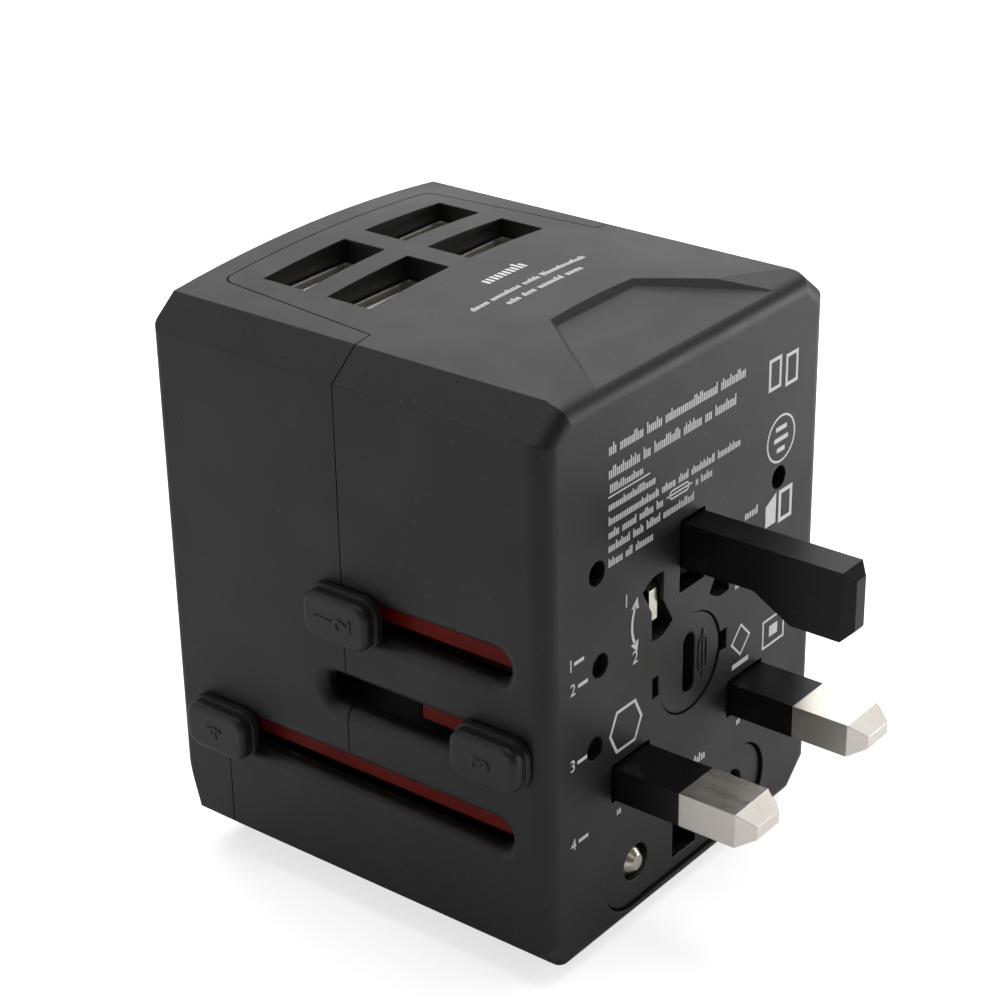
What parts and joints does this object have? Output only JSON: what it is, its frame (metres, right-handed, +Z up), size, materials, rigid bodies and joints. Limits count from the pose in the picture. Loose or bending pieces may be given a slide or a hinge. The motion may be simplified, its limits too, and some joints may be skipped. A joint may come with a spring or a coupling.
{
  "type": "universal travel adapter",
  "caption": "Block-shaped travel plug adapter with side-sliding square-pin, twin-blade and round-pin plugs, a universal socket behind and charging ports on top.",
  "frame": {"origin": "middle of the flat underside the adapter rests on", "axes": "+Z up towards the charging ports, -Y out of the plug face, +Y out of the socket face, -X towards the slider knobs"},
  "size_m": [0.0546, 0.0737, 0.0685],
  "materials": {
    "case_plastic": "fine spark-textured black moulding",
    "socket_plastic": "fine-textured black moulding",
    "knob_plastic": "satin dark grey moulding",
    "block_plastic": "fine-textured black moulding",
    "carriage_plastic": "plain black moulding",
    "pin_plastic": "semi-gloss black moulding",
    "red_plastic": "dark red moulding",
    "guide_plastic": "natural white moulding",
    "nickel_plate": "nickel plate with fine handling marks",
    "port_plastic": "black insulator",
    "contact_brass": "stamped brass strip",
    "screw_steel": "zinc-plated steel",
    "board_laminate": "green solder mask",
    "ferrite": "sintered dark grey ferrite",
    "coil_tape": "yellow polyester tape",
    "capacitor_sleeve": "dark blue shrink sleeve",
    "fuse_glass": "clear glass tube"
  },
  "bodies": {
    "case": {"plug_side_housing": "case_plastic", "socket_side_cover": "case_plastic", "socket_face": "socket_plastic", "case_screws": "screw_steel", "red_backing": "red_plastic", "lower_guide": "guide_plastic", "upper_guide": "guide_plastic", "live_contact": "contact_brass", "neutral_contact": "contact_brass", "live_rail": "contact_brass", "neutral_rail": "contact_brass", "usb_shell_1": "nickel_plate", "usb_shell_2": "nickel_plate", "usb_shell_3": "nickel_plate", "usb_shell_4": "nickel_plate", "usb_tongue_1": "port_plastic", "usb_tongue_2": "port_plastic", "usb_tongue_3": "port_plastic", "usb_tongue_4": "port_plastic", "usb_contacts": "contact_brass", "usb_board": "board_laminate", "power_board": "board_laminate", "transformer_core": "ferrite", "transformer_coil": "coil_tape", "mains_capacitor": "capacitor_sleeve", "output_capacitors": "capacitor_sleeve", "fuse_tube": "guide_plastic", "fuse_glass": "fuse_glass", "fuse_end_caps": "nickel_plate", "fuse_spring": "screw_steel"},
    "square_plug": {"uk_carriage": "carriage_plastic", "uk_knob": "knob_plastic", "uk_live_pin": "nickel_plate", "uk_neutral_pin": "nickel_plate", "uk_live_sleeve": "pin_plastic", "uk_neutral_sleeve": "pin_plastic", "uk_earth_pin": "pin_plastic"},
    "blade_plug": {"us_carriage": "carriage_plastic", "us_knob": "knob_plastic"},
    "blade_left": {"us_blade_left": "nickel_plate"},
    "blade_right": {"us_blade_right": "nickel_plate"},
    "round_plug": {"eu_carriage": "carriage_plastic", "eu_knob": "knob_plastic", "eu_pin_left": "nickel_plate", "eu_pin_right": "nickel_plate", "eu_sleeve_left": "pin_plastic", "eu_sleeve_right": "pin_plastic"},
    "round_block": {"eu_block": "block_plastic"},
    "fuse_lid": {"fuse_cap": "block_plastic"}
  },
  "joints": [
    {"name": "square_plug_slide", "type": "slide", "parent": "case", "child": "square_plug", "axis": [0, 1, 0], "range_m": [0, 0.0218]},
    {"name": "blade_plug_slide", "type": "slide", "parent": "case", "child": "blade_plug", "axis": [0, -1, 0], "range_m": [0, 0.0193]},
    {"name": "left_blade_turn", "type": "hinge", "parent": "blade_plug", "child": "blade_left", "pos_m": [-0.00635, 0, 0.03855], "axis": [0, -1, 0], "range_deg": [0, 30]},
    {"name": "right_blade_turn", "type": "hinge", "parent": "blade_plug", "child": "blade_right", "pos_m": [0.00635, 0, 0.03855], "axis": [0, 1, 0], "range_deg": [0, 30]},
    {"name": "round_plug_slide", "type": "slide", "parent": "case", "child": "round_plug", "axis": [0, -1, 0], "range_m": [0, 0.0383]},
    {"name": "round_block_slide", "type": "slide", "parent": "case", "child": "round_block", "axis": [0, -1, 0], "range_m": [0, 0.01915]},
    {"name": "fuse_cap_turn", "type": "hinge", "parent": "case", "child": "fuse_lid", "pos_m": [0, -0.0265, 0.0288], "axis": [0, -1, 0], "range_deg": [0, 90]}
  ],
  "couplings": [
    {"joint": "round_block_slide", "follows": "round_plug_slide", "ratio": 0.5}
  ]
}
